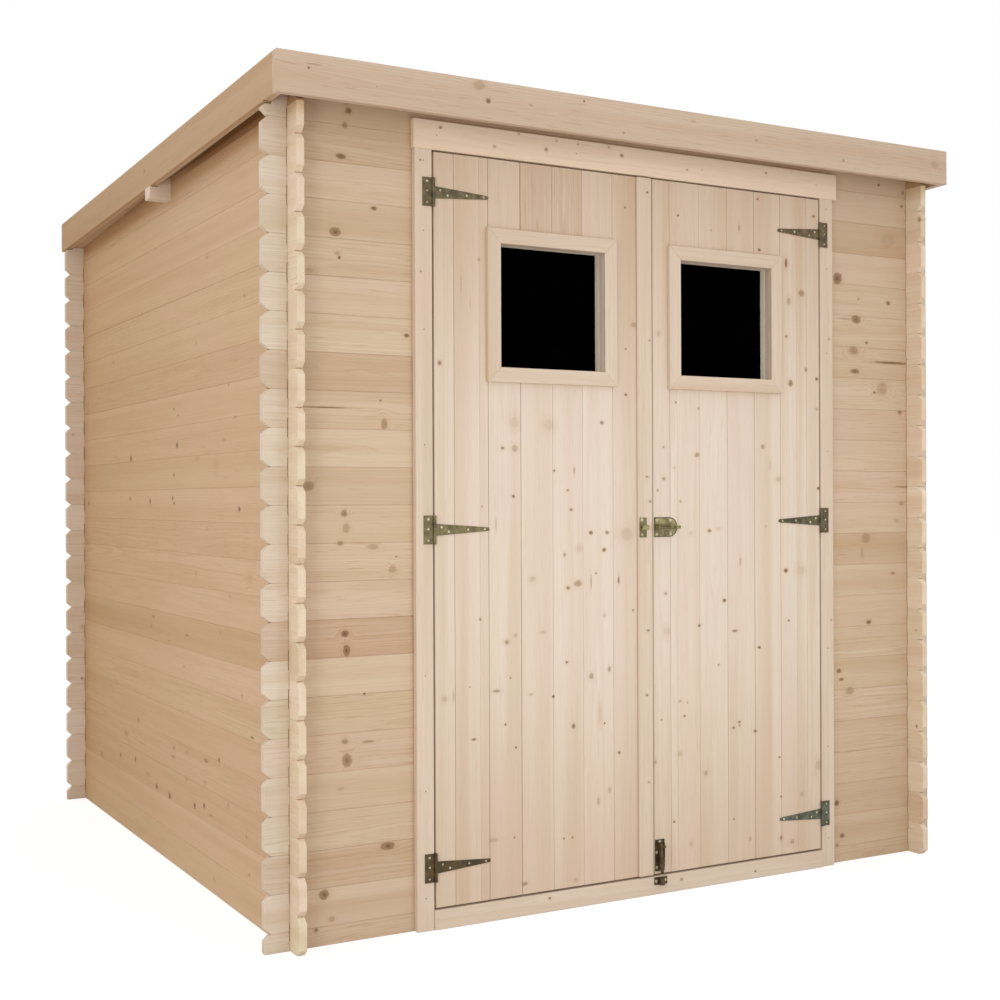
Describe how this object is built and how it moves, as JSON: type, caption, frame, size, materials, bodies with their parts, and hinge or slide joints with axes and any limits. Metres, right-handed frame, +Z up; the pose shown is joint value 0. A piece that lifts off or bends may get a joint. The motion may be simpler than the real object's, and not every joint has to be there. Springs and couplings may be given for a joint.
{
  "type": "wooden garden shed",
  "caption": "Garden shed of interlocking spruce boards with crossed corners, a pent roof and a double door with a square window in each leaf.",
  "frame": {"origin": "on the ground, at the middle of the box around the whole shed", "axes": "+Z up, +X to the right seen from the front, +Y from the doors to the back"},
  "size_m": [2.084, 2.18, 2.065],
  "materials": {
    "wall boards": "planed, untreated",
    "door boards": "planed, untreated",
    "trim wood": "planed, untreated",
    "roof boards": "planed, untreated",
    "roofing felt": "matte, mineral surface",
    "zinc plated steel": "yellow zinc plating",
    "window glass": "clear, dark room behind"
  },
  "bodies": {
    "shell": {"left_wall": "wall boards", "right_wall": "wall boards", "back_wall": "wall boards", "front_wall_left": "wall boards", "front_wall_right": "wall boards", "front_wall_head": "wall boards", "front_wall_base": "wall boards", "left_jamb": "trim wood", "right_jamb": "trim wood", "head_jamb": "trim wood", "threshold": "trim wood", "sill_board": "trim wood", "left_casing": "trim wood", "right_casing": "trim wood", "head_casing": "trim wood", "middle_purlin": "roof boards", "roof_deck": "roof boards", "roof_felt": "roofing felt", "front_fascia": "trim wood", "left_fascia": "trim wood", "right_fascia": "trim wood", "rear_eave_board": "trim wood", "left_hinge_plates": "zinc plated steel", "right_hinge_plates": "zinc plated steel", "foot_bolt_keeper": "zinc plated steel"},
    "left_door": {"left_door_boards": "door boards", "left_door_ledges": "door boards", "left_door_brace": "door boards", "left_window_outer_trim": "trim wood", "left_window_inner_trim": "trim wood", "left_window_glass": "window glass", "cover_strip": "trim wood", "left_hinge_straps": "zinc plated steel", "lock_keeper": "zinc plated steel"},
    "right_door": {"right_door_boards": "door boards", "right_door_ledges": "door boards", "right_door_brace": "door boards", "right_window_outer_trim": "trim wood", "right_window_inner_trim": "trim wood", "right_window_glass": "window glass", "right_hinge_straps": "zinc plated steel", "lock_body": "zinc plated steel", "foot_bolt_body": "zinc plated steel"},
    "lock_bolt": {"lock_rod": "zinc plated steel"},
    "foot_bolt": {"foot_bolt_rod": "zinc plated steel"}
  },
  "joints": [
    {"name": "left_door_hinge", "type": "hinge", "parent": "shell", "child": "left_door", "pos_m": [-0.6115, -1.024, 0], "axis": [0, 0, -1], "range_deg": [0, 120]},
    {"name": "right_door_hinge", "type": "hinge", "parent": "shell", "child": "right_door", "pos_m": [0.6115, -1.024, 0], "axis": [0, 0, 1], "range_deg": [0, 120]},
    {"name": "lock_bolt_slide", "type": "slide", "parent": "right_door", "child": "lock_bolt", "axis": [1, 0, 0], "range_m": [-0.048, 0]},
    {"name": "foot_bolt_slide", "type": "slide", "parent": "right_door", "child": "foot_bolt", "axis": [0, 0, 1], "range_m": [-0.027, 0]}
  ]
}
